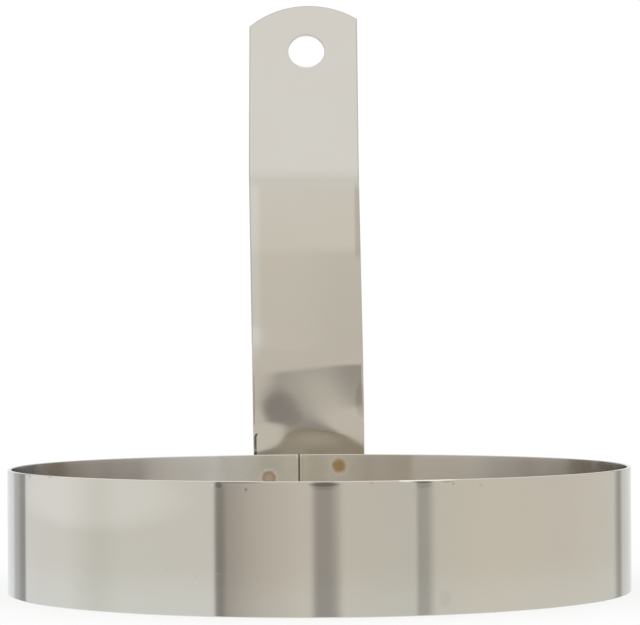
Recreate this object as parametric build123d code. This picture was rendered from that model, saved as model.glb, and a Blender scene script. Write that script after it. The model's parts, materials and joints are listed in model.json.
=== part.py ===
from build123d import *
import os
from math import cos, degrees, radians, sin

# Egg ring: a steel strip rolled into a ring, with a butt seam, and a strap handle that bridges the seam.
# The strap's root is rolled to the ring's outside and held to it by four spot welds.
# Lengths are in millimetres and angles in degrees. The ring stands on Z = 0 with its axis on Z, and the
# handle stands at +Y. The side of the strap that faces the ring's axis is called its front.

# Ring band
bore_diameter = 150.0
band_thickness = 0.9
band_height = 30.0

# Butt seam in the band, a little to the left of the handle's centre line as seen from the front
seam_gap = 0.35
seam_offset = 2.5

# Strap handle: a root against the ring, a middle that leans out, and a grip that leans out further
strap_width = 30.0
strap_thickness = 0.9
root_foot_height = 6.0
root_rise = 25.0
middle_length = 51.0
grip_length = 53.1
middle_lean = 10.0
grip_lean = 23.0
lower_bend_radius = 10.0
upper_bend_radius = 30.0
end_arc_radius = 24.0
end_arc_offset = 1.5
hang_hole_diameter = 10.0
hang_hole_from_end = 14.3
hang_hole_offset = 0.8

# Spot welds: each is a slug of fused metal through both sheets, with a shallow electrode mark at each end
weld_diameter = 3.8
weld_mark_depth = 0.06

# Shares of the sheet's thickness: the rounding of rolled edges, and the broken corners of the sheared seam
edge_round_share = 0.33
seam_break_share = 0.17

# Share of the root's rise above the ring in which its curve fades out and the strap becomes flat
flattening_share = 0.8

# Weld places: a share of the strap's width, across from its centre line, and a share of the overlap,
# down from the rim
weld_place_shares = {
    "weld_upper_left": (-0.365, 0.26),
    "weld_upper_right": (0.28, 0.13),
    "weld_lower_left": (-0.35, 0.84),
    "weld_lower_right": (0.33, 0.77),
}

# Clearance between the strap's root and the band, and how far every cutting tool runs past its stock
root_clearance = 0.03
cut_overrun = 2.0

# Radii and heights that follow
bore_radius = bore_diameter / 2
ring_radius = bore_radius + band_thickness
root_inner_radius = ring_radius + root_clearance
root_outer_radius = root_inner_radius + strap_thickness
root_middle_radius = (root_inner_radius + root_outer_radius) / 2
root_overlap = band_height - root_foot_height
flat_start = band_height + root_rise * flattening_share

# Corner points of the strap's middle surface, seen from the side as (distance out, height)
lower_corner = (root_middle_radius, band_height + root_rise)
upper_corner = (
    lower_corner[0] + middle_length * sin(radians(middle_lean)),
    lower_corner[1] + middle_length * cos(radians(middle_lean)),
)
grip_end = (
    upper_corner[0] + grip_length * sin(radians(grip_lean)),
    upper_corner[1] + grip_length * cos(radians(grip_lean)),
)


def weld_bar(across, height, start, end):
    """A round bar on a weld's axis, between two distances from the ring's axis."""
    turn = across / root_middle_radius
    outward = Vector(sin(turn), cos(turn), 0)
    base = Plane(origin=outward * start + Vector(0, 0, height), z_dir=outward)
    return extrude(base * Circle(weld_diameter / 2), amount=end - start)


def weld_centres():
    """Arc length across and height of each spot weld, by name."""
    return {
        name: (across_share * strap_width, band_height - down_share * root_overlap)
        for name, (across_share, down_share) in weld_place_shares.items()
    }


def weld_holes():
    """The bars that make room for the slugs in both sheets."""
    inner = bore_radius - cut_overrun
    outer = root_outer_radius + cut_overrun
    return [weld_bar(across, height, inner, outer) for across, height in weld_centres().values()]


def weld_slug(across, height):
    """One fused slug, dished at both ends where the electrodes pressed."""
    slug = weld_bar(across, height, bore_radius, root_outer_radius)
    dish_radius = ((weld_diameter / 2) ** 2 + weld_mark_depth**2) / (2 * weld_mark_depth)
    turn = across / root_middle_radius
    outward = Vector(sin(turn), cos(turn), 0)
    inner_dish = outward * (bore_radius + weld_mark_depth - dish_radius)
    outer_dish = outward * (root_outer_radius - weld_mark_depth + dish_radius)
    for dish in (inner_dish, outer_dish):
        slug -= Pos(dish.X, dish.Y, height) * Sphere(dish_radius)
    return slug


def seam_cutter():
    """The gap between the strip's ends, flared where the sheared corners are broken."""
    half_gap = seam_gap / 2
    corner_break = band_thickness * seam_break_share
    half_outline = [
        (half_gap + corner_break + cut_overrun, bore_radius - cut_overrun),
        (half_gap, bore_radius + corner_break),
        (half_gap, ring_radius - corner_break),
        (half_gap + corner_break + cut_overrun, ring_radius + cut_overrun),
    ]
    other_half = [(-x, y) for x, y in reversed(half_outline)]
    outline = make_face(Polyline(*half_outline, *other_half, close=True))
    cutter = extrude(Pos(0, 0, -cut_overrun) * outline, amount=band_height + 2 * cut_overrun)
    return Rot(0, 0, degrees(seam_offset / bore_radius)) * cutter


def ring_band():
    """The strip's rounded section turned about Z, then opened at the seam and at the welds."""
    section = Rectangle(band_thickness, band_height)
    section = fillet(section.vertices(), radius=band_thickness * edge_round_share)
    middle = ((bore_radius + ring_radius) / 2, 0, band_height / 2)
    hoop = revolve(Plane(origin=middle, x_dir=(1, 0, 0), z_dir=(0, -1, 0)) * section, axis=Axis.Z)
    return hoop - seam_cutter() - weld_holes()


def rolled_section():
    """The strap's cross-section where it is rolled to the ring, on the plane Z = 0."""
    half_angle = degrees(strap_width / 2 / root_middle_radius)
    inner = CenterArc((0, 0), root_inner_radius, 90 - half_angle, 2 * half_angle)
    outer = CenterArc((0, 0), root_outer_radius, 90 - half_angle, 2 * half_angle)
    outline = make_face([inner, Line(inner @ 1, outer @ 1), outer, Line(inner @ 0, outer @ 0)])
    return fillet(outline.vertices(), radius=strap_thickness * edge_round_share)


def flat_section():
    """The strap's cross-section where it is flat, on the plane Z = 0."""
    section = Rectangle(strap_width, strap_thickness)
    rounded = fillet(section.vertices(), radius=strap_thickness * edge_round_share)
    return Pos(0, root_middle_radius, 0) * rounded


def grip_plane(from_end, to_the_right):
    """A plane on the grip's middle surface that faces the front, its Y along the strap towards the end."""
    lean = radians(grip_lean)
    along = Vector(0, sin(lean), cos(lean))
    place = Vector(to_the_right, *grip_end) - along * from_end
    return Plane(origin=place, x_dir=(1, 0, 0), z_dir=(0, -cos(lean), sin(lean)))


def end_cutter():
    """What the end die takes off: everything beyond an arc that isn't quite centred on the strap."""
    reach = strap_width / 2 + end_arc_offset + cut_overrun
    rise = end_arc_radius + cut_overrun
    beyond_arc = Pos(0, rise / 2, 0) * Rectangle(2 * reach, rise) - Circle(end_arc_radius)
    die = grip_plane(end_arc_radius, end_arc_offset) * beyond_arc
    return extrude(die, amount=strap_thickness / 2 + cut_overrun, both=True)


def handle_strap():
    """The root on the ring, the length where its curve fades out, and the bent flat strap up to the end."""
    root = extrude(Pos(0, 0, root_foot_height) * rolled_section(), amount=root_overlap)
    fading = loft([Pos(0, 0, band_height) * rolled_section(), Pos(0, 0, flat_start) * flat_section()])
    corners = [(root_middle_radius, flat_start), lower_corner, upper_corner, grip_end]
    radii = [lower_bend_radius + strap_thickness / 2, upper_bend_radius + strap_thickness / 2]
    route = Plane.YZ * FilletPolyline(*corners, radius=radii)
    bent = sweep(Pos(0, 0, flat_start) * flat_section(), path=route)
    hole = grip_plane(hang_hole_from_end, hang_hole_offset) * Circle(hang_hole_diameter / 2)
    punch = extrude(hole, amount=strap_thickness / 2 + cut_overrun, both=True)
    return root + fading + bent - end_cutter() - punch - weld_holes()


os.makedirs("parts", exist_ok=True)
export_step(ring_band(), "parts/ring_band.step")
export_step(handle_strap(), "parts/handle_strap.step")
for weld_name, (weld_across, weld_height) in weld_centres().items():
    export_step(weld_slug(weld_across, weld_height), f"parts/{weld_name}.step")
print("the grip ends at", [round(x, 2) for x in grip_end])
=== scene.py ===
# %% [markdown]
# An egg ring in bright stainless steel.
# The real object is sheet metal work. One thin strip is rolled into a ring and its ends meet in a seam.
# A second strip is bent twice to make a tall handle, and its foot is spot-welded over the seam.
# This lesson rebuilds the ring, the handle and the four welds as separate pieces, each in the place
# that the CAD frame gives it. A mirror has no colour of its own, so the studio around the object gets
# as much care as the metal.

# %% The frame
import json
import math

import bmesh
import bpy
from mathutils import Matrix, Vector, noise


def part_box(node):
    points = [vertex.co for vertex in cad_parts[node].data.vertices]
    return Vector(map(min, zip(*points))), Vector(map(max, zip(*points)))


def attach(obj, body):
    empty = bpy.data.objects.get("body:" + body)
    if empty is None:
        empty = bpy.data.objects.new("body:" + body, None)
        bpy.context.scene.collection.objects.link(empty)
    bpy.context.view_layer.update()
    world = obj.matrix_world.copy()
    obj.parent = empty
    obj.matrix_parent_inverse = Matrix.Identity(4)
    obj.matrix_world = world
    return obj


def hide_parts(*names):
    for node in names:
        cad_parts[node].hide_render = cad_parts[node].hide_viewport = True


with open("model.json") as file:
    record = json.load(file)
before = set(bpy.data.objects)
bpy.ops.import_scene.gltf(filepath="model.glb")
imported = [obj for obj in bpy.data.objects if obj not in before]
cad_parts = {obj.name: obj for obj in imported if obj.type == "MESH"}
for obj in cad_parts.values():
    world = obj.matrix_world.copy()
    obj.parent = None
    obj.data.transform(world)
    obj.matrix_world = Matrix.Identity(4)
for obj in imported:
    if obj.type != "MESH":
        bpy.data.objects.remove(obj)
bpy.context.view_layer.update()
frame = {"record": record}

# %% [markdown]
# Blender works in metres, and a maker of sheet metal thinks in millimetres. So every shape is drawn in
# millimetres and scaled down once, when it is finished. The main sizes aren't typed again: the frame
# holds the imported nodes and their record, and the boxes and mounts in it give the radii and heights.

# %% Main sizes from the frame
MM = 0.001


def in_mm(corner):
    """A corner of a node's box, from metres to millimetres."""
    return Vector(corner) / MM


mounts = {mount["name"]: mount for mount in frame["record"]["mounts"]}
band_high = in_mm(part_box("ring_band")[1])
strap_low = in_mm(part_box("handle_strap")[0])
bore_radius = mounts["ring_bore"]["dims"]["r_mm"]
hole_radius = mounts["hang_hole"]["dims"]["r_mm"]
hole_across = mounts["hang_hole"]["pos_m"][0] / MM
sheet = mounts["hang_hole"]["dims"]["length_mm"]
band_height = band_high.z
foot_height = strap_low.z
ring_radius = bore_radius + sheet
edge_round_share = 0.22
edge_round = sheet * edge_round_share
clearance = 0.03
print("ring radius", ring_radius, "mm, band height", round(band_height, 3), "mm, sheet", sheet, "mm")

# %% [markdown]
# Shader maths is easier to read as ordinary expressions than as a list of nodes and links. This small
# class wraps one output socket. Adding or multiplying two of them adds a Math node, and its method
# called node makes any other node: first its settings, then the values or links of its inputs.

# %% Shader expressions


class Signal:
    """One output socket in a node tree."""

    def __init__(self, tree, socket=None):
        self.tree = tree
        self.socket = socket

    def node(self, kind, settings, inputs, output=0):
        made = self.tree.nodes.new(kind)
        for name, value in settings.items():
            if name == "stops":
                self.set_stops(made.color_ramp, value)
            else:
                setattr(made, name, value)
        for name, value in inputs.items():
            if isinstance(value, Signal):
                self.tree.links.new(value.socket, made.inputs[name])
            else:
                made.inputs[name].default_value = value
        return Signal(self.tree, made.outputs[output]) if made.outputs else None

    def set_stops(self, ramp, stops):
        while len(ramp.elements) > 1:
            ramp.elements.remove(ramp.elements[-1])
        for count, (place, colour) in enumerate(stops):
            stop = ramp.elements.new(place) if count else ramp.elements[0]
            stop.position = place
            stop.color = (*colour, 1)

    def math(self, operation, *values):
        return self.node("ShaderNodeMath", {"operation": operation}, dict(enumerate(values)))

    def __add__(self, other):
        return self.math("ADD", self, other)

    def __radd__(self, other):
        return self.math("ADD", other, self)

    def __sub__(self, other):
        return self.math("SUBTRACT", self, other)

    def __rsub__(self, other):
        return self.math("SUBTRACT", other, self)

    def __mul__(self, other):
        return self.math("MULTIPLY", self, other)

    def __rmul__(self, other):
        return self.math("MULTIPLY", other, self)

    def __truediv__(self, other):
        return self.math("DIVIDE", self, other)

    def smooth(self, start, end):
        """0 at start and 1 at end, and smooth between them. Start may be the larger of the two."""
        low, high, first, last = (start, end, 0.0, 1.0) if start < end else (end, start, 1.0, 0.0)
        settings = {"interpolation_type": "SMOOTHSTEP"}
        return self.node("ShaderNodeMapRange", settings, {0: self, 1: low, 2: high, 3: first, 4: last})

    def ramp(self, stops):
        """A colour that follows this signal through the stops of a Color Ramp."""
        return self.node("ShaderNodeValToRGB", {"stops": stops}, {0: self})

    def between(self, low, high):
        """This signal, from 0 to 1, stretched to run from one number to another."""
        return self * (high - low) + low

    def mix(self, first, second):
        """A colour between two colours, with this signal as the factor."""
        return self.node("ShaderNodeMix", {"data_type": "RGBA"}, {0: self, 6: first, 7: second}, 2)

    def scaled(self, factor):
        """A colour or vector made stronger or weaker by a factor."""
        return self.node("ShaderNodeVectorMath", {"operation": "SCALE"}, {0: self, "Scale": factor})

    def times(self, other):
        """This colour multiplied by another one, channel by channel."""
        return self.node("ShaderNodeVectorMath", {"operation": "MULTIPLY"}, {0: self, 1: other})

    def xyz(self):
        """The three parts of a vector."""
        return [self.node("ShaderNodeSeparateXYZ", {}, {0: self}, axis) for axis in "XYZ"]

    def cloud(self, place, scale, detail):
        """Soft noise, about a half on average, read at a place."""
        return self.node("ShaderNodeTexNoise", {}, {"Vector": place, "Scale": scale, "Detail": detail})


# %% [markdown]
# The camera stands a little left of the handle's front and looks almost level across the ring, as in
# the photograph. A long lens keeps the ring's front and back nearly the same size.

# %% Camera
camera_bearing = math.radians(2.2)
camera_distance = 742.06
camera_height = 62.21
camera_heading = math.radians(2.232)
camera_lift = math.radians(0.421)
camera_roll = math.radians(-0.296)
sensor_width = 36
focal_length = 170.55
quarter_turn = math.radians(90)

lens = bpy.data.cameras.new("long_lens")
lens.sensor_width = sensor_width
lens.lens = focal_length
camera = bpy.data.objects.new("camera", lens)
bpy.context.collection.objects.link(camera)
stand = Vector((-math.sin(camera_bearing), -math.cos(camera_bearing), 0)) * camera_distance
stand.z = camera_height
aim = Matrix.Rotation(-camera_heading, 4, "Z")
aim @= Matrix.Rotation(quarter_turn + camera_lift, 4, "X")
aim @= Matrix.Rotation(camera_roll, 4, "Z")
camera.matrix_world = Matrix.Translation(stand * MM) @ aim
bpy.context.scene.camera = camera
bpy.context.scene.view_settings.view_transform = "Standard"
print("the camera stands at", [round(x, 1) for x in stand], "mm")

# %% [markdown]
# Bright steel shows the studio around it. Photographers put such an object in a tent of white cloth:
# its walls are pale grey, its top is brighter, and it has gaps where the cloth panels meet and where
# the lens looks in. Those gaps are the dark upright bands on the ring, and the front panel is in shade
# where it folds in behind the left one. The tent could be built from cloth and lamps, but then each
# band would need a lamp moved by trial. Here the world's shader paints the tent by compass direction
# and height, so each gap has a named place. Only reflections see it. Direct light stays an even white,
# so colours keep the strength that they are written with.

# %% Directions in the studio
tent = bpy.data.worlds.new("studio_tent")
bpy.context.scene.world = tent
tent.use_nodes = True
tent.node_tree.nodes.clear()
sky = Signal(tent.node_tree)

east, north, up = sky.node("ShaderNodeTexCoord", {}, {}, "Generated").xyz()
to_camera = east * -math.sin(camera_bearing) - north * math.cos(camera_bearing)
to_right = east * math.cos(camera_bearing) - north * math.sin(camera_bearing)
azimuth = sky.math("ARCTAN2", to_right, to_camera) * math.degrees(1)
elevation = sky.math("ARCSINE", up) * math.degrees(1)

# %% Cloth walls
# Each stop is a direction in degrees to the right of the camera, with the tone of the cloth there.
# Each pair of directions or heights gives the two ends of a soft change from one tone to the next.
half_circle = 180
full_circle = 360
panel_edge_at = (-38.3, -36.5)
fold_end_at = (-6, -8)
fold_top_at = (5, 0)
left_cloth_tones = [
    (-180, (0.90, 0.91, 0.92)),
    (-158, (0.84, 0.87, 0.89)),
    (-150, (0.83, 0.85, 0.87)),
    (-131, (0.88, 0.88, 0.88)),
    (-104, (0.90, 0.90, 0.89)),
    (-87, (0.79, 0.79, 0.75)),
    (-75, (0.84, 0.84, 0.81)),
    (-38, (0.84, 0.83, 0.80)),
]
front_cloth_tones = [
    (-10, (0.76, 0.72, 0.65)),
    (10, (0.77, 0.74, 0.67)),
    (30, (0.74, 0.73, 0.67)),
    (60, (0.81, 0.77, 0.69)),
    (120, (0.80, 0.77, 0.71)),
    (150, (0.73, 0.735, 0.70)),
    (163, (0.80, 0.82, 0.84)),
    (180, (0.90, 0.91, 0.92)),
]
fold_tones = [
    (-37, (0.44, 0.42, 0.37)),
    (-33, (0.44, 0.41, 0.38)),
    (-30, (0.495, 0.455, 0.42)),
    (-24, (0.60, 0.56, 0.50)),
    (-18, (0.665, 0.625, 0.555)),
    (-7, (0.76, 0.72, 0.65)),
]


def cloth_panel(tones):
    """A panel of cloth whose tone changes with the direction."""
    stops = [((side + half_circle) / full_circle, tone) for side, tone in tones]
    return ((azimuth + half_circle) / full_circle).ramp(stops)


panel_edge = azimuth.smooth(*panel_edge_at)
in_fold = azimuth.smooth(*fold_end_at) * elevation.smooth(*fold_top_at)
front_cloth = in_fold.mix(cloth_panel(front_cloth_tones), cloth_panel(fold_tones))
cloth = panel_edge.mix(cloth_panel(left_cloth_tones), front_cloth)

# %% Gaps at the sides and behind the object
floor_line_at = (-20, -12)
side_gap_top_at = (4, 0)
back_gap_top_at = (38, 24)


def gap(left, left_softness, right, right_softness, depth=1.0):
    """The light missing between the left and right edges of an upright gap, which are both soft."""
    opens = azimuth.smooth(left - left_softness, left + left_softness)
    closes = azimuth.smooth(right + right_softness, right - right_softness)
    return opens * closes * depth


overlap_shade = gap(left=-37.3, left_softness=0.8, right=-33.8, right_softness=1.3, depth=0.43)
right_gap = gap(left=34.9, left_softness=0.7, right=40.3, right_softness=2.2, depth=0.41)
left_back_gap = gap(left=-150.2, left_softness=2.5, right=-135.6, right_softness=0.6, depth=0.36)
left_back_core = gap(left=-142.5, left_softness=3.0, right=-135.6, right_softness=0.6, depth=0.20)
right_back_gap = gap(left=138.5, left_softness=3.5, right=145.7, right_softness=2.5, depth=0.44)
above_floor = elevation.smooth(*floor_line_at)
side_gaps = (overlap_shade + right_gap) * elevation.smooth(*side_gap_top_at) * above_floor
back_gaps = (left_back_gap + left_back_core + right_back_gap) * elevation.smooth(*back_gap_top_at)

# %% The lens opening
# The opening is a gap that is darker low down. The dark round lens stands in it, off its middle.
lens_gap_top_at = (2.0, -0.9)
lens_gap_deepens_at = (-2.6, -4.6)
lens_gap_depths = (0.34, 0.54)
lens_azimuth = 1.5
lens_elevation = -1.4
lens_edge_at = (5.2, 2.6)
lens_depth = 0.55
dim_room = (0.03, 0.024, 0.05, 1)

lens_gap = gap(left=-2.2, left_softness=1.8, right=7.0, right_softness=2.2)
lens_gap = lens_gap * elevation.smooth(*lens_gap_deepens_at).between(*lens_gap_depths)
lens_gap = lens_gap * elevation.smooth(*lens_gap_top_at) * above_floor
beside_lens = azimuth - lens_azimuth
above_lens = elevation - lens_elevation
from_lens = sky.math("SQRT", beside_lens * beside_lens + above_lens * above_lens)
lens_shade = sky.math("MAXIMUM", lens_gap, from_lens.smooth(*lens_edge_at) * lens_depth)
walls = (side_gaps + lens_shade).mix(cloth.scaled(1 - back_gaps), dim_room)

# %% Roof, ground and what sees them
white = (1.0, 1.0, 1.0, 1)
lamp_white = (1.35, 1.35, 1.33, 1)
lamp_edge_at = (52, 80)
ground = (1.0, 1.0, 0.99, 1)
ground_line_at = (-22, -32)
roof_start = 20
roof_full = 48
roof_tones = [(0.0, 0.0), (0.11, 0.4), (0.40, 0.5), (0.80, 0.93), (1.0, 1.0)]

roof_rise = [(place, (tone,) * 3) for place, tone in roof_tones]
roof_share = ((elevation - roof_start) / (roof_full - roof_start)).ramp(roof_rise)
roof = elevation.smooth(*lamp_edge_at).mix(white, lamp_white)
reflected = elevation.smooth(*ground_line_at).mix(roof_share.mix(walls, roof), ground)

reflection = sky.node("ShaderNodeLightPath", {}, {}, "Is Glossy Ray")
tent_light = reflection.mix(white, reflected)
shine = sky.node("ShaderNodeBackground", {}, {"Color": tent_light, "Strength": 1.0})
sky.node("ShaderNodeOutputWorld", {}, {"Surface": shine})
print("the studio's shader has", len(tent.node_tree.nodes), "nodes")

# %% [markdown]
# The floor is a plain white sheet. It is half lit and half glowing, so it renders as white as the
# background, and the object still lays a faint shadow on it. Reflections pass it by, because the tent's
# own ground is already in the world.

# %% Floor
floor_size = 6000
floor_albedo = 0.30

floor_bm = bmesh.new()
bmesh.ops.create_grid(floor_bm, x_segments=1, y_segments=1, size=floor_size / 2 * MM)
floor_mesh = bpy.data.meshes.new("floor")
floor_bm.to_mesh(floor_mesh)
floor_bm.free()
floor = bpy.data.objects.new("floor", floor_mesh)
bpy.context.collection.objects.link(floor)
floor.visible_glossy = False

paper = bpy.data.materials.new("white_paper")
paper.use_nodes = True
paper.node_tree.nodes.clear()
sheet_of_paper = Signal(paper.node_tree)
lit = sheet_of_paper.node("ShaderNodeBsdfDiffuse", {}, {"Color": (floor_albedo,) * 3 + (1,)})
glow = sheet_of_paper.node("ShaderNodeEmission", {}, {"Strength": 1 - floor_albedo})
both = sheet_of_paper.node("ShaderNodeAddShader", {}, {0: lit, 1: glow})
sheet_of_paper.node("ShaderNodeOutputMaterial", {}, {"Surface": both})
floor_mesh.materials.append(paper)
print("the floor is", floor_size * MM, "m square")

# %% [markdown]
# A resistance spot weld is a slug of metal that melted through both sheets between two copper
# electrodes. It has a shallow dish at each end and a brown heat tint round it. The frame's boxes give
# each weld's place on the ring. The places come first, because the steel is tinted round them and both
# sheets get holes there.

# %% Weld places
weld_radius = 1.9
slug_inner = bore_radius
slug_outer = ring_radius + clearance + sheet
weld_names = ["weld_upper_left", "weld_upper_right", "weld_lower_left", "weld_lower_right"]
weld_places = {}
for weld_name in weld_names:
    low, high = (in_mm(corner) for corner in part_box(weld_name))
    centre = (low + high) / 2
    weld_places[weld_name] = (math.atan2(centre.x, centre.y), centre.z)
print("weld bearings and heights:", weld_places)


def on_ring(bearing, radius, height):
    """A point at a bearing clockwise from the handle, as seen from above."""
    return Vector((math.sin(bearing) * radius, math.cos(bearing) * radius, height))


def weld_distance(base, place):
    """How far a point is from the nearest end of a weld, in millimetres."""
    nearest = None
    for bearing, height in weld_places.values():
        for radius in (slug_inner, slug_outer):
            ends = {0: place, 1: on_ring(bearing, radius, height) * MM}
            away = base.node("ShaderNodeVectorMath", {"operation": "DISTANCE"}, ends, "Value")
            nearest = base.math("MINIMUM", nearest, away) if nearest else away
    return nearest * (1 / MM)


# %% [markdown]
# Rolled stainless strip is nearly a mirror, with fine lines along the length of the strip where the
# rolls polished it. A plain metallic shader with one roughness looks like plastic foil, so the lines
# vary the roughness and the bump, and a cloudy haze of handling varies the tone. On the ring the lines
# run round it. They scatter light up and down but hardly sideways, which the shader's anisotropy gives,
# and that is how daylight gets down the inside of the wall. The handle's strip is polished evenly. One
# function makes the steel of the ring, the handle and the welds, and the heat tint is laid over all
# three by the distance to the nearest weld, so it runs on from one piece to the next.

# %% Tones of the steel, and the share of a small mark
steel_tone = (0.66, 0.635, 0.585, 1)
steel_worn = (0.60, 0.575, 0.525, 1)
steel_warm = (0.645, 0.61, 0.56, 1)
# The dark tone below serves grime and painted shade, and the bright one serves polish and painted
# highlights.
grime_and_shade = (0.10, 0.09, 0.065, 1)
polish_and_highlight = (0.95, 0.94, 0.90, 1)
mark_edge_at = (1.0, 0.2)
inside_wall_at = (bore_radius + 0.4 * sheet, bore_radius + 0.2 * sheet)
outside_wall_at = (bore_radius + 0.5 * sheet, bore_radius + 0.7 * sheet)


def patch(sideways, upwards, mark):
    """The share of a small mark at a place: 1 in its middle, and 0 past its edge."""
    side = (sideways - mark["at"][0]) / mark["size"][0]
    rise = (upwards - mark["at"][1]) / mark["size"][1]
    return (side * side + rise * rise).smooth(*mark_edge_at) * mark["strength"]


def strongest(base, sideways, upwards, marks):
    """The share of the strongest of some marks at a place."""
    most = patch(sideways, upwards, marks[0])
    for mark in marks[1:]:
        most = base.math("MAXIMUM", most, patch(sideways, upwards, mark))
    return most


def from_axis(base, across, out):
    """How far a point is from the ring's axis."""
    return base.math("SQRT", across * across + out * out)


def inside_wall(radius):
    """1 on the ring's inside wall, and 0 in the middle of its thickness and outside."""
    return radius.smooth(*inside_wall_at)


# %% Heat tint
# A ramp runs from a weld's middle to the end of its tint. The left welds' middles were rubbed paler.
tint_reach = 3.0
clean_from_share = 0.7
burnt_from = 1.8
tint_wobble = 1.2
tint_fray = 0.9
ragged_scale = 600.0
weld_sides_at = (-2, 2)
right_tint_stops = [
    (0.00, (0.36, 0.25, 0.14)),
    (0.25, (0.36, 0.245, 0.135)),
    (0.45, (0.38, 0.26, 0.15)),
    (0.56, (0.45, 0.34, 0.22)),
    (0.68, (0.56, 0.48, 0.36)),
    (0.85, (0.63, 0.59, 0.50)),
    (1.00, (0.66, 0.635, 0.585)),
]
left_tint_stops = [
    (0.00, (0.49, 0.39, 0.31)),
    (0.30, (0.48, 0.38, 0.30)),
    (0.47, (0.37, 0.275, 0.195)),
    (0.58, (0.47, 0.38, 0.29)),
    (0.70, (0.60, 0.54, 0.45)),
    (0.85, (0.65, 0.61, 0.55)),
    (1.00, (0.66, 0.635, 0.585)),
]


def heat_tint(base, place, across, haze):
    """The distance from the nearest weld, made a little ragged, and the tint's colour there."""
    ragged = base.cloud(place, ragged_scale, 2.0)
    away = weld_distance(base, place) + (haze - 0.5) * tint_wobble + (ragged - 0.5) * tint_fray
    reach = away / tint_reach
    on_right = across.smooth(*weld_sides_at)
    return away, on_right.mix(reach.ramp(left_tint_stops), reach.ramp(right_tint_stops))


# %% Where the rolling lines run
# Noise is stretched along the strip by counting few cells to the millimetre, or to the radian, that way.
lines_across_strip = 1.4
lines_round_ring = 1.5
lines_up_strap = 0.02
haze_upwards = 0.045
haze_round_ring = 3.5
haze_across_strap = 0.06
inside_roughness = 0.05
root_roughness = 0.02
root_haze_at = (58, 46)


def round_ring(base, across, out, height):
    """Where the lines and the haze are read on the ring, and the extra roughness of its inside."""
    turn = base.math("ARCTAN2", across, out)
    lines_at = {"X": turn * lines_round_ring, "Y": height * lines_across_strip}
    haze_at = {"X": turn * haze_round_ring, "Y": height * haze_upwards}
    return lines_at, haze_at, inside_wall(from_axis(base, across, out)) * inside_roughness


def up_strap(base, across, out, height):
    """Where the lines and the haze are read on the handle, and the extra roughness near its root."""
    lines_at = {"X": across * lines_across_strip, "Y": height * lines_up_strap}
    haze_at = {"X": across * haze_across_strap, "Y": height * haze_upwards}
    return lines_at, haze_at, height.smooth(*root_haze_at) * root_roughness


# %% Steel with rolling lines
warm_scale = 90.0
haze_share = 0.35
line_share = 0.15
warm_share = 0.5
warm_spots_at = (0.45, 0.7)
line_roughness = 0.03
haze_roughness = 0.05
burnt_roughness = 0.12
scatter_turn = 0.25
bump_strength = 0.12
bump_depth = 0.01 * MM


def rolled_steel(name, along, roughness, anisotropy, wear_and_painted_light):
    """Bright steel with rolling lines, haze, heat tint and a fine bump. The last argument adds a piece's
    own marks and its painted light and shade.
    """
    material = bpy.data.materials.new(name)
    material.use_nodes = True
    material.node_tree.nodes.clear()
    base = Signal(material.node_tree)
    place = base.node("ShaderNodeTexCoord", {}, {}, "Object")
    across, out, height = (part * (1 / MM) for part in place.xyz())
    lines_at, haze_at, handled = along(base, across, out, height)
    lines = base.cloud(base.node("ShaderNodeCombineXYZ", {}, lines_at), 1.0, 3.0)
    haze = base.cloud(base.node("ShaderNodeCombineXYZ", {}, haze_at), 1.0, 4.0)
    warmth = base.cloud(place, warm_scale, 2.0).smooth(*warm_spots_at) * warm_share
    clean = (haze * haze_share + lines * line_share).mix(steel_tone, steel_worn)
    clean = warmth.mix(clean, steel_warm)
    away, tint = heat_tint(base, place, across, haze)
    tinted = away.smooth(tint_reach, clean_from_share * tint_reach)
    colour = wear_and_painted_light(base, tinted.mix(clean, tint), across, out, height)
    uneven = (lines - 0.5) * line_roughness + (haze - 0.5) * haze_roughness
    rough = uneven + away.smooth(tint_reach, burnt_from) * burnt_roughness + roughness + handled
    relief = {"Strength": bump_strength, "Distance": bump_depth, "Height": lines}
    bump = base.node("ShaderNodeBump", {}, relief)
    metal = base.node(
        "ShaderNodeBsdfPrincipled",
        {},
        {
            "Base Color": colour,
            "Roughness": rough,
            "Metallic": 1.0,
            "Anisotropic": anisotropy,
            "Anisotropic Rotation": scatter_turn,
            "Normal": bump,
        },
    )
    base.node("ShaderNodeOutputMaterial", {}, {"Surface": metal})
    print(name, "has", len(material.node_tree.nodes), "nodes")
    return material


# %% [markdown]
# Wear is what tells a used ring from a new one: grime fills the seam, and the outside has a few specks.
# Besides the wear, the inside wall has painted reflections and shade by bearing, the seam has painted
# shade and highlights, and the outside has painted shade under its rim and painted highlights. Each small
# mark is a soft ellipse at its own place, so it can be moved or left out by one line in a list.

# %% Painted reflections on the inside wall, and the band's foot
# Each stop is a bearing from the handle, in degrees, with how much the painted reflection and shade there
# lighten or darken the steel's tone.
# A ramp holds no tone above 1, so the stops are divided by a strength that is multiplied back later.
painted_reflection_strength = 1.5
# Painted reflections and shade on the inside wall, lighter at some bearings and darker at others.
painted_reflection_tones = [
    (-90, (0.95, 0.90, 0.80)),
    (-75, (0.80, 0.80, 0.85)),
    (-45, (0.85, 0.85, 0.92)),
    (-20, (1.18, 1.25, 1.40)),
    (-10, (1.02, 1.02, 1.03)),
    (0, (1.00, 1.00, 0.95)),
    (10, (0.92, 0.91, 0.91)),
    (35, (0.98, 0.97, 0.98)),
    (70, (0.75, 0.71, 0.70)),
    (90, (0.95, 0.90, 0.80)),
]
painted_reflection_stops = []
for bearing, tone in painted_reflection_tones:
    painted_reflection_stops.append((bearing / half_circle + 0.5, tuple(part / painted_reflection_strength for part in tone)))
# The outside is made lighter and bluer towards its foot.
foot_tone = (1.05, 1.09, 1.12)
foot_at = (13, 1)
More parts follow.
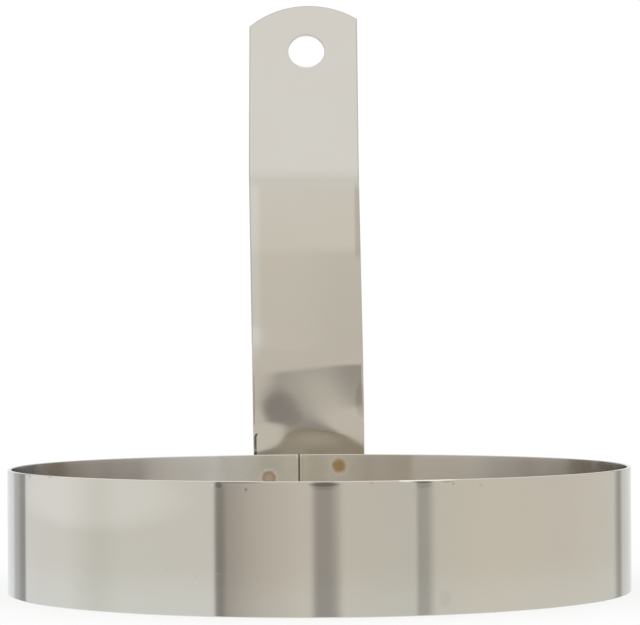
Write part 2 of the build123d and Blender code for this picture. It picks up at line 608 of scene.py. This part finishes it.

# %% Small marks, painted shade and painted highlights on the band's outside
# Each place is a distance round the wall, to the right of its front, and a height, in millimetres.
band_specks_and_painted_shade = [
    {"at": (-19.2, 28.2), "size": (0.42, 0.40), "strength": 0.45},
    {"at": (8.7, 29.5), "size": (0.45, 0.30), "strength": 0.20},
    {"at": (25.9, 29.5), "size": (1.7, 0.16), "strength": 0.35},
    {"at": (27.6, 29.1), "size": (0.35, 0.45), "strength": 0.25},
    {"at": (34.6, 28.6), "size": (0.6, 0.5), "strength": 0.10},
    {"at": (25.5, 3.6), "size": (1.7, 2.4), "strength": 0.06},
    {"at": (-38.4, 10.1), "size": (0.7, 0.22), "strength": 0.08},
    {"at": (-30.8, 8.85), "size": (0.3, 0.3), "strength": 0.08},
    {"at": (-31.4, 8.3), "size": (0.3, 0.3), "strength": 0.06},
    {"at": (-30.2, 8.3), "size": (0.3, 0.3), "strength": 0.06},
    # The next six are painted shade under the rim, below the three dark bands of the gaps.
    {"at": (-1.8, 29.3), "size": (4.0, 0.6), "strength": 0.62},
    {"at": (-1.8, 29.2), "size": (3.8, 1.4), "strength": 0.22},
    {"at": (-25.5, 29.2), "size": (0.95, 0.9), "strength": 0.42},
    {"at": (-20.5, 29.7), "size": (6.3, 0.18), "strength": 0.45},
    {"at": (20.6, 29.55), "size": (2.6, 0.28), "strength": 0.68},
    {"at": (20.6, 29.2), "size": (2.4, 1.3), "strength": 0.17},
    {"at": (-86.0, 29.6), "size": (0.8, 0.3), "strength": 0.35},
    {"at": (-75.5, 29.8), "size": (1.2, 0.25), "strength": 0.35},
]
bright_specks_and_painted_highlights = [
    # The first four are painted highlights on the rim and painted lighter patches on the wall. The last
    # two are small bright marks.
    {"at": (22.7, 30.1), "size": (7.5, 0.50), "strength": 1.0},
    {"at": (16.6, 30.0), "size": (2.4, 0.45), "strength": 1.0},
    {"at": (-62.0, 26.0), "size": (34.0, 9.0), "strength": 0.25},
    {"at": (-38.0, -1.0), "size": (30.0, 12.0), "strength": 0.05},
    {"at": (-25.7, 9.6), "size": (0.6, 0.15), "strength": 0.55},
    {"at": (-26.9, 29.1), "size": (0.3, 0.25), "strength": 0.30},
]


# %% Wear, painted shade and painted highlights round the seam
seam_offset = -2.5
seam_grime_and_shade_edge = (0.30, 0.18)
seam_grime_and_shade_share = 0.5
lip_highlight_inner_edge = (0.28, 0.36)
lip_highlight_outer_edge = (0.72, 0.52)
lip_highlight_share = 0.30
scratch_from_seam = 0.92
scratch_edge = (0.22, 0.08)
scratch_share = 0.12


def seam_marks_and_painted_light(base, colour, past_seam, inside):
    """Painted highlights on the lips beside the seam, grime and painted shade in it, and one dull scratch
    to its right.
    """
    from_seam = base.math("ABSOLUTE", past_seam)
    # The bright lips beside the seam are painted highlights.
    lip_highlights = from_seam.smooth(*lip_highlight_inner_edge) * from_seam.smooth(*lip_highlight_outer_edge) * inside
    colour = (lip_highlights * lip_highlight_share).mix(colour, polish_and_highlight)
    scratch = base.math("ABSOLUTE", past_seam - scratch_from_seam).smooth(*scratch_edge) * inside
    # The seam's dark line is grime and painted shade.
    dark = from_seam.smooth(*seam_grime_and_shade_edge) * seam_grime_and_shade_share + scratch * scratch_share
    return dark.mix(colour, grime_and_shade)


def band_wear_and_painted_light(base, colour, across, out, height):
    """The inside wall's painted reflections and shade, grime and painted shade in the seam, painted
    highlights beside it, specks, painted shade and highlights near the rim, and a lighter, bluer foot.
    """
    radius = from_axis(base, across, out)
    outside = radius.smooth(*outside_wall_at)
    inside = inside_wall(radius)
    back_turn = base.math("ARCTAN2", across, out)
    # The inside wall is painted lighter at some bearings and darker at others: painted reflections and
    # shade.
    painted_reflection = (back_turn / math.pi + 0.5).ramp(painted_reflection_stops).scaled(painted_reflection_strength)
    colour = inside.mix(colour, colour.times(painted_reflection))
    colour = seam_marks_and_painted_light(base, colour, back_turn * bore_radius - seam_offset, inside)
    front_arc = base.math("ARCTAN2", across, 0 - out) * ring_radius
    # The outside is lighter and bluer towards its foot.
    foot = height.smooth(*foot_at) * outside
    colour = foot.mix(colour, colour.times(foot_tone))
    # Most dark marks are specks. The ones under the rim below the gaps are painted shade.
    dark = strongest(base, front_arc, height, band_specks_and_painted_shade)
    colour = (dark * outside).mix(colour, grime_and_shade)
    # The bright marks are mostly painted highlights on the rim and painted lighter patches on the wall.
    bright = strongest(base, front_arc, height, bright_specks_and_painted_highlights)
    return (bright * outside).mix(colour, polish_and_highlight)


# %% [markdown]
# The handle's marks follow its shape. Its tone changes at set heights, its sheared edges are dull along
# the straight sides and round the end arc, and dark reflections are painted near the root and on its
# right margin. So the lengths, leans and bends of the strip are named here, once, and the sheet itself is
# made from the same values later on. The strip also wanders sideways by less than half a millimetre on
# its way up: two straight runs with a soft turn between them.

# %% Lengths and bends of the strip
strap_width = 30.0
half_width = strap_width / 2
root_radius = ring_radius + clearance + sheet / 2
lower_bend_height = 55.0
middle_length = 51.0
middle_lean = math.radians(10)
grip_length = 53.1
grip_lean = math.radians(23)
end_arc_radius = 24.0
end_arc_across = 1.5
wander_turn = 101.0
wander_low = -0.48
wander_before = -0.009
wander_after = 0.0145
wander_softness = 4.0
wander_mean = (wander_after + wander_before) / 2
wander_change = (wander_after - wander_before) / 2

upper_bend_out = root_radius + middle_length * math.sin(middle_lean)
upper_bend_height = lower_bend_height + middle_length * math.cos(middle_lean)
grip_end_out = upper_bend_out + grip_length * math.sin(grip_lean)
grip_end_height = upper_bend_height + grip_length * math.cos(grip_lean)
past_lower_bend = wander_turn - (lower_bend_height - foot_height)
wander_turn_height = lower_bend_height + past_lower_bend * math.cos(middle_lean)
print("the grip ends", round(grip_end_out, 2), "mm out and", round(grip_end_height, 2), "mm up")

# %% Dull sheared edges
straight_edge_at = (half_width - 0.4, half_width - 0.15)
straight_edge_from = (58, 62)
right_edge_from = (103, 106)
left_side_at = (0, -1)
arc_edge_at = (end_arc_radius - 0.42, end_arc_radius - 0.18)
arc_edge_from = (-9, -8)
edge_share = 0.28
along_per_height = 1.05


def cut_edges(base, across, out, height):
    """The dull grey of the sheared edges, beside the straight sides and round the end arc."""
    past_turn = (height - wander_turn_height) * along_per_height
    soft_turn = base.math("SQRT", past_turn * past_turn + wander_softness**2)
    aside = across - (past_turn * wander_mean + soft_turn * wander_change + wander_low)
    sides = base.math("ABSOLUTE", aside).smooth(*straight_edge_at) * height.smooth(*straight_edge_from)
    on_left = aside.smooth(*left_side_at)
    sides = sides * base.math("MAXIMUM", height.smooth(*right_edge_from), on_left)
    out_part = (out - grip_end_out) * math.sin(grip_lean)
    below_end = out_part + (height - grip_end_height) * math.cos(grip_lean)
    over = below_end + end_arc_radius
    beside = aside - end_arc_across
    arc = base.math("SQRT", beside * beside + over * over).smooth(*arc_edge_at)
    return base.math("MAXIMUM", sides, arc * below_end.smooth(*arc_edge_from)) * edge_share


# %% Tone steps and painted dark reflections on the strap's front
in_front_at = (-0.1, -0.25)
middle_from = (54, 59)
middle_to = (105, 101)
tone_line_at = (83, 87)
upper_middle_gain = 1.06
lower_right_gain = 0.95
lower_right_at = (-6, 12)
left_margin_at = (-11.8, -13.8)
left_margin_tone = (1.08, 1.11, 1.15)
# The right margin gets a painted dark reflection.
right_painted_reflection_at = (12.8, 13.7)
right_painted_reflection_from = (81.5, 85.5)
right_painted_reflection_tone = (0.80, 0.79, 0.80)
streaks_across = 1.6
streaks_upwards = 0.7
streak_shares = (0.7, 1.3)
painted_dark_reflection_tone = (0.10, 0.085, 0.10, 1)
# Each of these marks is a painted dark reflection near the root.
painted_dark_reflections = [
    {"at": (-7.4, 42.2), "size": (5.8, 5.8), "strength": 0.19},
    {"at": (-5.0, 40.2), "size": (4.4, 3.4), "strength": 0.17},
    {"at": (14.3, 44.6), "size": (2.0, 5.4), "strength": 0.22},
]


def strap_tones_and_painted_reflections(base, colour, across, out, height):
    """Tone steps on the handle's front: lighter above a line, darker low on the right, a lighter and
    cooler left margin, and painted dark reflections at the root and on the right margin.
    """
    above_bend = base.math("MAXIMUM", height - lower_bend_height, 0)
    in_front = (out - (above_bend * math.tan(middle_lean) + root_radius)).smooth(*in_front_at)
    streaks_at = {"X": across * streaks_across, "Y": height * streaks_upwards}
    streaks = base.cloud(base.node("ShaderNodeCombineXYZ", {}, streaks_at), 1.0, 2.0)
    # Dark reflections are painted near the root, streaked a little.
    painted_dark_reflection = strongest(base, across, height, painted_dark_reflections) * in_front * streaks.between(*streak_shares)
    colour = painted_dark_reflection.mix(colour, painted_dark_reflection_tone)
    on_middle = height.smooth(*middle_from) * height.smooth(*middle_to) * in_front
    above_line = height.smooth(*tone_line_at)
    colour = (on_middle * above_line).mix(colour, colour.scaled(upper_middle_gain))
    lower_right = on_middle * (1 - above_line) * across.smooth(*lower_right_at)
    colour = lower_right.mix(colour, colour.scaled(lower_right_gain))
    left_margin = on_middle * across.smooth(*left_margin_at)
    colour = left_margin.mix(colour, colour.times(left_margin_tone))
    # A dark reflection is painted along the right margin.
    right_painted_reflection = on_middle * height.smooth(*right_painted_reflection_from) * across.smooth(*right_painted_reflection_at)
    return right_painted_reflection.mix(colour, colour.times(right_painted_reflection_tone))


# %% Painted shade in the strap's torn edge and painted shadow behind the seam
# The torn left edge just above the rim gets painted shade.
torn_across = -14.27
torn_top = 35.7
torn_lean_rise = 1.1
torn_lean = 0.35
torn_edge = (0.50, 0.18)
torn_top_at = (torn_top + 0.15, torn_top - 0.15)
torn_foot = {"at": (-14.2, 30.6), "size": (0.45, 0.5), "strength": 0.95}
torn_foot_at = (29.8, 30.2)
torn_shade_share = 0.95
speckle_upwards = 0.7
speckle_at = (0.3, 0.5)
speckle_shares = (0.55, 1)
root_front_at = (root_radius, root_radius - 0.2)
seam_shadow_edge = (0.7, 0.3)
seam_shadow_top = (30.3, 29.8)
seam_shadow_share = 0.6


def strap_wear_and_painted_light(base, colour, across, out, height):
    """The strap's tone steps and painted dark reflections, painted shadow behind the seam, and painted
    shade in the torn left edge just above the rim.
    """
    colour = strap_tones_and_painted_reflections(base, colour, across, out, height)
    colour = cut_edges(base, across, out, height).mix(colour, grime_and_shade)
    behind = base.math("ABSOLUTE", across - seam_offset).smooth(*seam_shadow_edge)
    behind = behind * height.smooth(*seam_shadow_top)
    behind = behind * from_axis(base, across, out).smooth(*root_front_at)
    # Painted shade along the torn edge, made jagged by a speckle.
    hook = height.smooth(torn_top - torn_lean_rise, torn_top) * torn_lean
    torn_edge_shade = base.math("ABSOLUTE", across - torn_across - hook).smooth(*torn_edge)
    torn_edge_shade = torn_edge_shade * height.smooth(*torn_foot_at) * height.smooth(*torn_top_at)
    flat_place = base.node("ShaderNodeCombineXYZ", {}, {"X": across, "Y": height * speckle_upwards})
    speckle = base.cloud(flat_place, 1.0, 1.0)
    torn_edge_shade = torn_edge_shade * speckle.smooth(*speckle_at).between(*speckle_shares)
    torn_edge_shade = base.math("MAXIMUM", torn_edge_shade * torn_shade_share, patch(across, height, torn_foot))
    return base.math("MAXIMUM", behind * seam_shadow_share, torn_edge_shade).mix(colour, grime_and_shade)


def weld_wear(base, colour, across, out, height):
    """A weld's ends have no marks beside their heat tint."""
    return colour


# %% The three steels
band_steel = rolled_steel("band_rolled_steel", round_ring, roughness=0.12, anisotropy=1.0, wear_and_painted_light=band_wear_and_painted_light)
strap_steel = rolled_steel("strap_rolled_steel", up_strap, roughness=0.10, anisotropy=0.0, wear_and_painted_light=strap_wear_and_painted_light)
weld_steel = rolled_steel("weld_tinted_steel", round_ring, roughness=0.16, anisotropy=0.9, wear_and_painted_light=weld_wear)

# %% [markdown]
# Every piece is finished in the same way. Its mesh is scaled to metres, it is parented to the body it
# rides on, it gets its finish, and the CAD node that it stands for is hidden. Sheet metal has broad faces
# beside small rounded edges, so the broad faces lead the shading. The weld holes go through curved sheet
# at an angle to its mesh, which is what a Boolean is good at: it cuts with a pin and leaves the rest as it
# was.

# %% Finishing a piece


def add_piece(name, bm, material, node):
    """Turns a finished bmesh, drawn in millimetres, into a piece that stands for a node."""
    bmesh.ops.scale(bm, vec=(MM, MM, MM), verts=bm.verts)
    bmesh.ops.recalc_face_normals(bm, faces=bm.faces)
    mesh = bpy.data.meshes.new(name)
    bm.to_mesh(mesh)
    bm.free()
    mesh.materials.append(material)
    piece = bpy.data.objects.new(name, mesh)
    bpy.context.collection.objects.link(piece)
    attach(piece, "root")
    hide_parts(node)
    print(name, "has", len(mesh.polygons), "faces")
    return piece


sharp_angle = math.radians(40)
broad_face_weight = 90


def shade(piece):
    """Smooth shading that keeps flat faces flat beside their rounded edges."""
    piece.data.shade_smooth()
    piece.data.set_sharp_from_angle(angle=sharp_angle)
    weigh = piece.modifiers.new("broad faces lead", "WEIGHTED_NORMAL")
    weigh.keep_sharp = True
    weigh.weight = broad_face_weight


# %% Holes for the welds
weld_sides = 48
pin_length = 8


def weld_pin(bearing, height):
    """A round pin through both sheets on a weld's axis, which cuts the holes and is then deleted."""
    bm = bmesh.new()
    bmesh.ops.create_cone(
        bm,
        cap_ends=True,
        segments=weld_sides,
        radius1=weld_radius,
        radius2=weld_radius,
        depth=pin_length,
    )
    lie = Matrix.Rotation(-bearing, 4, "Z") @ Matrix.Rotation(quarter_turn, 4, "X")
    spot = Matrix.Translation(on_ring(bearing, ring_radius, height))
    bmesh.ops.transform(bm, matrix=Matrix.Scale(MM, 4) @ spot @ lie, verts=bm.verts)
    mesh = bpy.data.meshes.new("pin")
    bm.to_mesh(mesh)
    bm.free()
    pin = bpy.data.objects.new("pin", mesh)
    bpy.context.collection.objects.link(pin)
    return pin


def punch_weld_holes(piece):
    """Cuts the four holes with exact Booleans and keeps the result as the piece's mesh."""
    pins = [weld_pin(bearing, height) for bearing, height in weld_places.values()]
    for pin in pins:
        cut = piece.modifiers.new("weld hole", "BOOLEAN")
        cut.operation = "DIFFERENCE"
        cut.solver = "EXACT"
        cut.object = pin
    whole = piece.data
    graph = bpy.context.evaluated_depsgraph_get()
    piece_now = piece.evaluated_get(graph)
    holed = bpy.data.meshes.new_from_object(piece_now)
    piece.modifiers.clear()
    piece.data = holed
    bpy.data.meshes.remove(whole)
    for pin in pins:
        bpy.data.meshes.remove(pin.data)


# %% [markdown]
# The ring is one strip whose long edges are rounded by the slitting rolls. Its section is drawn flat,
# its corners are rounded, and then it is spun about the ring's axis. The spin stops short of a full
# turn, which leaves the seam open. Hand-rolled strip is never quite round, and on a mirror even a few
# hundredths of a millimetre bend the reflections. So the wall gets a very shallow wave.

# %% Ring section and spin
seam_gap = 0.35
section_rows = 24
spin_steps = 600
full_turn = math.radians(360)
edge_steps = 3

band = bmesh.new()
bmesh.ops.create_grid(band, x_segments=1, y_segments=section_rows, size=0.5)
bmesh.ops.scale(band, vec=(sheet, band_height, 1), verts=band.verts)
section_corners = [vert for vert in band.verts if len(vert.link_edges) == 2]
bmesh.ops.bevel(
    band,
    geom=section_corners,
    offset=edge_round,
    segments=edge_steps,
    profile=0.5,
    affect="VERTICES",
    material=-1,
)
bmesh.ops.rotate(band, cent=(0, 0, 0), matrix=Matrix.Rotation(quarter_turn, 3, "X"), verts=band.verts)
bmesh.ops.translate(band, vec=(bore_radius + sheet / 2, 0, band_height / 2), verts=band.verts)
seam_bearing = seam_offset / bore_radius
half_gap = seam_gap / 2 / bore_radius
first_end = quarter_turn - seam_bearing + half_gap
bmesh.ops.rotate(band, cent=(0, 0, 0), matrix=Matrix.Rotation(first_end, 3, "Z"), verts=band.verts)
bmesh.ops.spin(
    band,
    geom=band.verts[:] + band.edges[:] + band.faces[:],
    cent=(0, 0, 0),
    axis=(0, 0, 1),
    angle=full_turn - 2 * half_gap,
    steps=spin_steps,
)
bmesh.ops.recalc_face_normals(band, faces=band.faces)
print("the spun strip has", len(band.faces), "faces")

# %% Ring ends and wave
corner_angle = math.radians(60)
end_break_share = 0.17
end_break_steps = 2
wave_depth = 0.035
wave_length = 26
wave_height_share = 0.35
calm_bearing = 0.2
calm_fade = 0.2


def ring_wave(bearing, height):
    """How far the wall stands inside its true circle. The wave fades out near the handle and seam."""
    calm = min(1, max(0, (abs(bearing) - calm_bearing) / calm_fade))
    spot = on_ring(bearing, ring_radius, height * wave_height_share) / wave_length
    return wave_depth * calm * (0.5 + 0.5 * noise.noise(spot))


end_edges = [edge for edge in band.edges if edge.calc_face_angle(0) > corner_angle]
bmesh.ops.bevel(
    band,
    geom=end_edges,
    offset=sheet * end_break_share,
    segments=end_break_steps,
    profile=0.5,
    affect="EDGES",
    material=-1,
)
for vert in band.verts:
    bearing = math.atan2(vert.co.x, vert.co.y)
    outward = Vector((vert.co.x, vert.co.y, 0)).normalized()
    vert.co -= outward * ring_wave(bearing, vert.co.z)
ring_piece = add_piece("ring_band_sheet", band, band_steel, "ring_band")
punch_weld_holes(ring_piece)
shade(ring_piece)
print("the ring has", len(end_edges), "broken end edges and four weld holes")

# %% [markdown]
# The handle starts as a flat blank with a rounded end and a hanging hole. The blank gets its thickness
# and its rounded edges while it is flat, as on the real strip, and is bent last. Bending is a formula:
# each point keeps its distance along the strip, across it and through its thickness. The route of the
# strip's middle says where that distance along it ends up. The route differs a little from the strip's
# left edge to its right one, because the lower bend was made by hand: it is tighter at its right end.

# %% Route of the strip
upper_bend_inside = 30.0
upper_bend_radius = upper_bend_inside + sheet / 2
left_bend_reach = 4.0
right_bend_reach = 1.0
bend_slant = 0.01
bend_crown = 0.25


def route_at(across):
    """The strip's straight runs and bends, at a distance across from its centre line."""
    right_share = across / strap_width + 0.5
    lower_reach = left_bend_reach + (right_bend_reach - left_bend_reach) * right_share
    upper_reach = upper_bend_radius * math.tan((grip_lean - middle_lean) / 2)
    crown = bend_crown * (1 - (2 * across / strap_width) ** 2)
    rise = bend_slant * across + crown
    bend_height = lower_bend_height + rise
    middle = middle_length - rise
    return [
        ("run", bend_height - lower_reach - foot_height),
        ("bend", lower_reach / math.tan(middle_lean / 2), middle_lean),
        ("run", middle - lower_reach - upper_reach),
        ("bend", upper_bend_radius, grip_lean - middle_lean),
        ("run", grip_length - upper_reach),
    ]


centre_route = route_at(0)
developed = sum(part[1] if part[0] == "run" else part[1] * part[2] for part in centre_route)
print("the strap's developed length is", round(developed, 3), "mm")

# %% Places along the route


def along_route(distance, across):
    """Where the strip's middle is, as (out, height), and its lean, at a distance from the foot."""
    out, height, lean = root_radius, foot_height, 0.0
    route = route_at(across)
    for part in route:
        length = part[1] if part[0] == "run" else part[1] * part[2]
        step = distance if part is route[-1] else min(distance, length)
        if part[0] == "run":
            out += math.sin(lean) * step
            height += math.cos(lean) * step
        else:
            radius = part[1]
            turned = lean + step / radius
            out += radius * (math.cos(lean) - math.cos(turned))
            height += radius * (math.sin(turned) - math.sin(lean))
            lean = turned
        distance -= step
        if distance <= 0:
            break
    return out, height, lean


# %% [markdown]
# The length between the rim and the lower bend shows that the strap was bent by hand. The root's curve
# fades out over a short height, the sheet bows in towards the ring, and the bending tool left shallow
# dents. None is deeper than 0.3 mm, but a mirror shows each one, and they make the dark and light
# patches there. Paint alone would leave the patches in place when the view changes, so the sheet itself
# gets the dents, and dark reflections painted in its material only deepen the darkest of them.

# %% Curve of the root
flat_height = 40.5
flat_slant = 0.17
curl_power = 1.4


def ease(value, start, end):
    """From 0 to 1, gently at both ends."""
    share = min(1, max(0, (value - start) / (end - start)))
    return share * share * (3 - 2 * share)


def curl(across, height):
    """The strip's curvature across its width: the ring's own at the root, fading out above the rim."""
    flat_at = flat_height + flat_slant * across
    return (1 - ease(height, band_height, flat_at) ** curl_power) / root_radius


# %% Marks of hand bending
edge_curl = 0.008
edge_curl_starts = 8.0
edge_curl_from = (30, 40)
edge_curl_to = (65, 59)
bow_depth = 0.26
bow_height = 41.5
bow_reach = 12.0
twist = -0.003
twist_from = (32, 41)
marks_from = (band_height - 0.5, 37)
dents = [
    {"across": -13.0, "height": 41.5, "half_width": 5.0, "half_height": 4.0, "out": 0.15},
    {"across": 7.0, "height": 36.5, "half_width": 10.0, "half_height": 4.7, "out": -0.17},
    {"across": 9.0, "height": 47.0, "half_width": 8.5, "half_height": 8.5, "out": 0.155},
]


def dented(across, height):
    """How far hand bending moved the sheet outwards at a place above the rim."""
    moved = twist * across * ease(height, *twist_from)
    moved -= bow_depth * math.exp(-(((height - bow_height) / bow_reach) ** 2))
    past = max(0, -across - edge_curl_starts)
    curled = edge_curl / 2 * past**2
    moved -= curled * ease(height, *edge_curl_from) * ease(height, *edge_curl_to)
    for dent in dents:
        side = (across - dent["across"]) / dent["half_width"]
        rise = (height - dent["height"]) / dent["half_height"]
        moved += dent["out"] * math.exp(-side * side - rise * rise)
    return moved * ease(height, *marks_from)


# %% Bending a point of the blank
wander_starts = 18
nearly_flat = 0.001


def wander(along):
    """How far the strip's centre line has moved sideways: two straight runs with a soft turn."""
    past = max(along, wander_starts) - wander_turn
    return wander_low + wander_mean * past + wander_change * math.hypot(past, wander_softness)


def bend_point(point):
    """Takes a point of the flat blank to its place on the bent strip."""
    across, along, through = point
    out, height, lean = along_route(along, across)
    out += dented(across, height)
    curvature = curl(across, height)
    across += wander(along)
    side = across
    sag = 0.0
    if curvature * root_radius > nearly_flat:
        turn = across * curvature
        side = math.sin(turn) / curvature + through * math.sin(turn)
        sag = (1 - math.cos(turn)) / curvature + through * (1 - math.cos(turn))
    forward = through - sag
    return Vector((side, out + forward * math.cos(lean), height - forward * math.sin(lean)))


# %% Strap blank
cell = 0.6
end_length = 8.4
tolerance = 0.01
rows = round((developed - end_length) / cell)
columns = round(strap_width / cell)
grid_length = rows * cell
blank = bmesh.new()
bmesh.ops.create_grid(blank, x_segments=columns, y_segments=rows, size=0.5)
bmesh.ops.scale(blank, vec=(strap_width, grid_length, 1), verts=blank.verts)
bmesh.ops.translate(blank, vec=(0, grid_length / 2, 0), verts=blank.verts)

top_line = grid_length - tolerance
top_edges = [edge for edge in blank.edges if all(vert.co.y > top_line for vert in edge.verts)]
end_part = bmesh.ops.extrude_edge_only(blank, edges=top_edges)
for vert in (item for item in end_part["geom"] if isinstance(item, bmesh.types.BMVert)):
    reach = vert.co.x - end_arc_across
    vert.co.y = developed - end_arc_radius + math.sqrt(end_arc_radius**2 - reach**2)

# %% Hanging hole
hole_from_end = 14.3
hole_along = developed - hole_from_end
hole_patch_cells = 19
patch_reach = hole_patch_cells / 2 * cell + tolerance


def in_patch(face):
    """Whether a face of the blank's grid gives way to the ring of faces round the hole."""
    spot = face.calc_center_median()
    return abs(spot.x - hole_across) < patch_reach and abs(spot.y - hole_along) < patch_reach


hole_faces = [face for face in blank.faces if in_patch(face)]
patch_edges = [edge for face in hole_faces for edge in face.edges]
rim_edges = [edge for edge in patch_edges if not all(map(in_patch, edge.link_faces))]
bmesh.ops.delete(blank, geom=hole_faces, context="FACES_KEEP_BOUNDARY")
hole_ring = bmesh.ops.extrude_edge_only(blank, edges=rim_edges)
for vert in (item for item in hole_ring["geom"] if isinstance(item, bmesh.types.BMVert)):
    hole_middle = Vector((hole_across, hole_along, 0))
    vert.co = hole_middle + (vert.co - hole_middle).normalized() * hole_radius
print("the blank has", len(blank.faces), "faces, and", len(hole_faces), "gave way to the hole")

# %% Strap thickness, edges and bends
bmesh.ops.recalc_face_normals(blank, faces=blank.faces)
bmesh.ops.solidify(blank, geom=blank.faces, thickness=sheet)
lowest = min(vert.co.z for vert in blank.verts)
bmesh.ops.translate(blank, vec=(0, 0, -lowest - sheet / 2), verts=blank.verts)
sheet_edges = [edge for edge in blank.edges if edge.calc_face_angle(0) > corner_angle]
bmesh.ops.bevel(
    blank,
    geom=sheet_edges,
    offset=edge_round,
    segments=edge_steps,
    profile=0.5,
    affect="EDGES",
    material=-1,
)
for vert in blank.verts:
    vert.co = bend_point(vert.co)
strap_piece = add_piece("handle_strap_sheet", blank, strap_steel, "handle_strap")
punch_weld_holes(strap_piece)
shade(strap_piece)
print("the strap has", len(sheet_edges), "rounded edges and four weld holes")

# %% [markdown]
# Each weld slug is turned like a lathe part: half of its outline is spun about the weld's axis. The
# outline runs from the middle of one dished end, round its rim, to the middle of the other.

# %% Weld slugs
dish_depth = 0.06
dish_steps = 6
merge_distance = 0.001


def slug_outline():
    """Half of the slug's section, as (from the axis, along the axis) pairs from end to end."""
    shares = [count / dish_steps for count in range(dish_steps + 1)]
    inner = [(share * weld_radius, slug_inner + dish_depth * (1 - share**2)) for share in shares]
    outer = [(share * weld_radius, slug_outer - dish_depth * (1 - share**2)) for share in shares]
    return inner + outer[::-1]


for weld_name, (bearing, height) in weld_places.items():
    slug = bmesh.new()
    outline = [slug.verts.new((radius, along, 0)) for radius, along in slug_outline()]
    outline_edges = [slug.edges.new(pair) for pair in zip(outline, outline[1:])]
    bmesh.ops.spin(
        slug,
        geom=outline + outline_edges,
        cent=(0, 0, 0),
        axis=(0, 1, 0),
        angle=full_turn,
        steps=weld_sides,
        use_merge=True,
    )
    bmesh.ops.remove_doubles(slug, verts=slug.verts, dist=merge_distance)
    set_down = Matrix.Translation((0, 0, height)) @ Matrix.Rotation(-bearing, 4, "Z")
    bmesh.ops.transform(slug, matrix=set_down, verts=slug.verts)
    slug_piece = add_piece(weld_name + "_slug", slug, weld_steel, weld_name)
    shade(slug_piece)
